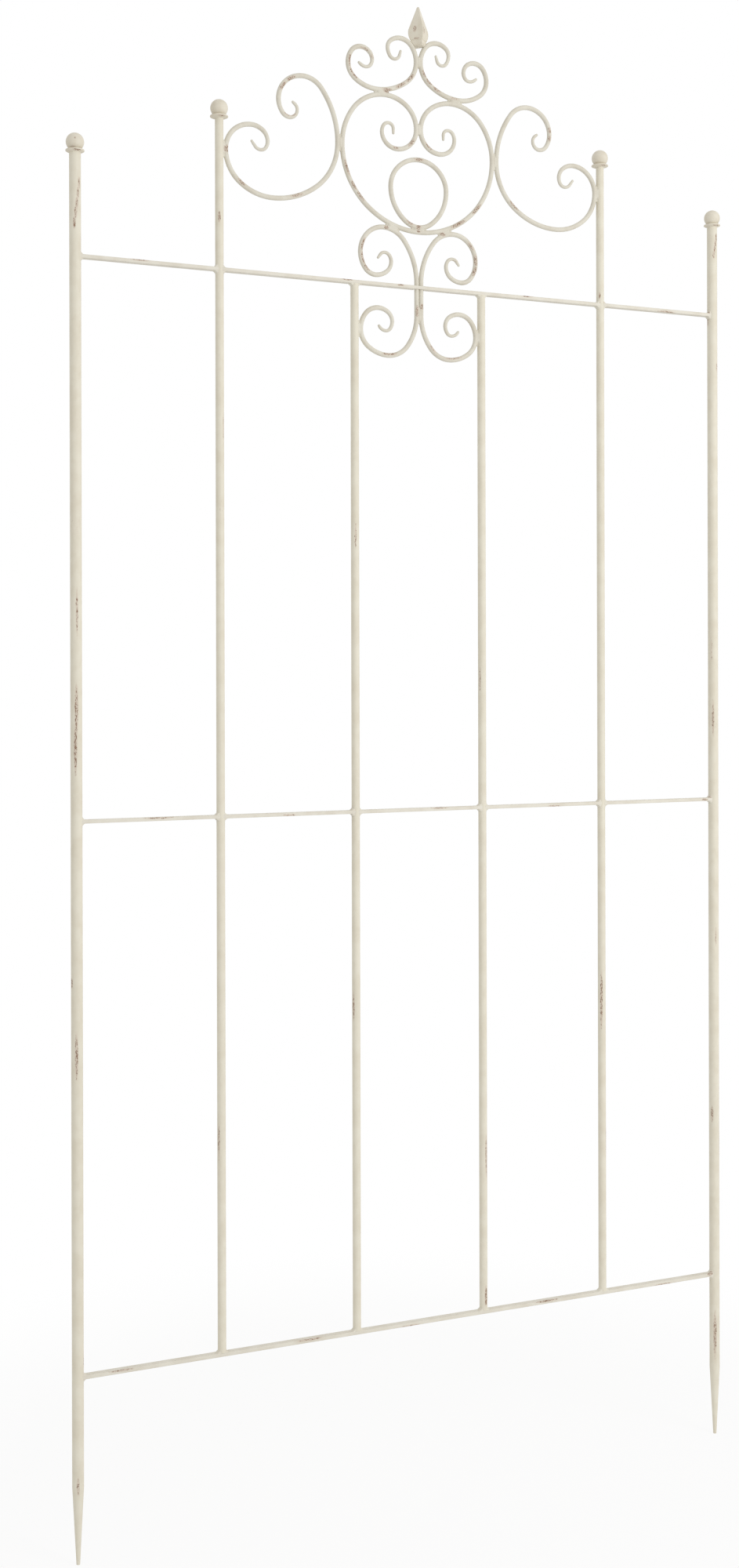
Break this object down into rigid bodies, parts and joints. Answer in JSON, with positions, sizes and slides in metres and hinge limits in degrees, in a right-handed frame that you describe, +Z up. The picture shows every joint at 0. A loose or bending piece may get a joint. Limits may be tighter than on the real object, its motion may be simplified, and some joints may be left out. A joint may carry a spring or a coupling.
{
  "type": "espalier frame",
  "caption": "Free-standing garden trellis of painted steel: spiked tube posts, uprights and flat rails under a crest of forged scrolls with a heart, ball finials and a spear.",
  "frame": {"origin": "midway between the two spike tips, in the plane of the frame", "axes": "+X to the right of the frame as seen from the front, +Y to the back, +Z up"},
  "size_m": [1.066, 0.0328, 2.1999],
  "materials": {
    "tube_paint": "satin cream paint, worn",
    "rail_paint": "satin cream paint, worn",
    "finial_paint": "satin cream paint, worn",
    "scroll_paint": "satin cream paint, worn to rust in places",
    "weld_paint": "satin cream paint over weld beads"
  },
  "bodies": {
    "root": {"left_post": "tube_paint", "right_post": "tube_paint", "left_tall_upright": "tube_paint", "right_tall_upright": "tube_paint", "left_inner_upright": "tube_paint", "right_inner_upright": "tube_paint", "bottom_rail": "rail_paint", "middle_rail_far_left": "rail_paint", "middle_rail_left": "rail_paint", "middle_rail_centre": "rail_paint", "middle_rail_right": "rail_paint", "middle_rail_far_right": "rail_paint", "top_rail_left": "rail_paint", "top_rail_centre": "rail_paint", "top_rail_right": "rail_paint", "left_post_finial": "finial_paint", "right_post_finial": "finial_paint", "left_upright_finial": "finial_paint", "right_upright_finial": "finial_paint", "spear_finial": "finial_paint", "heart_scroll": "scroll_paint", "heart_ring": "scroll_paint", "left_side_scroll": "scroll_paint", "right_side_scroll": "scroll_paint", "left_top_scroll": "scroll_paint", "right_top_scroll": "scroll_paint", "left_lower_scroll": "scroll_paint", "right_lower_scroll": "scroll_paint", "bottom_rail_welds": "weld_paint", "middle_rail_welds": "weld_paint", "top_rail_welds": "weld_paint", "crest_welds": "weld_paint"}
  },
  "joints": []
}
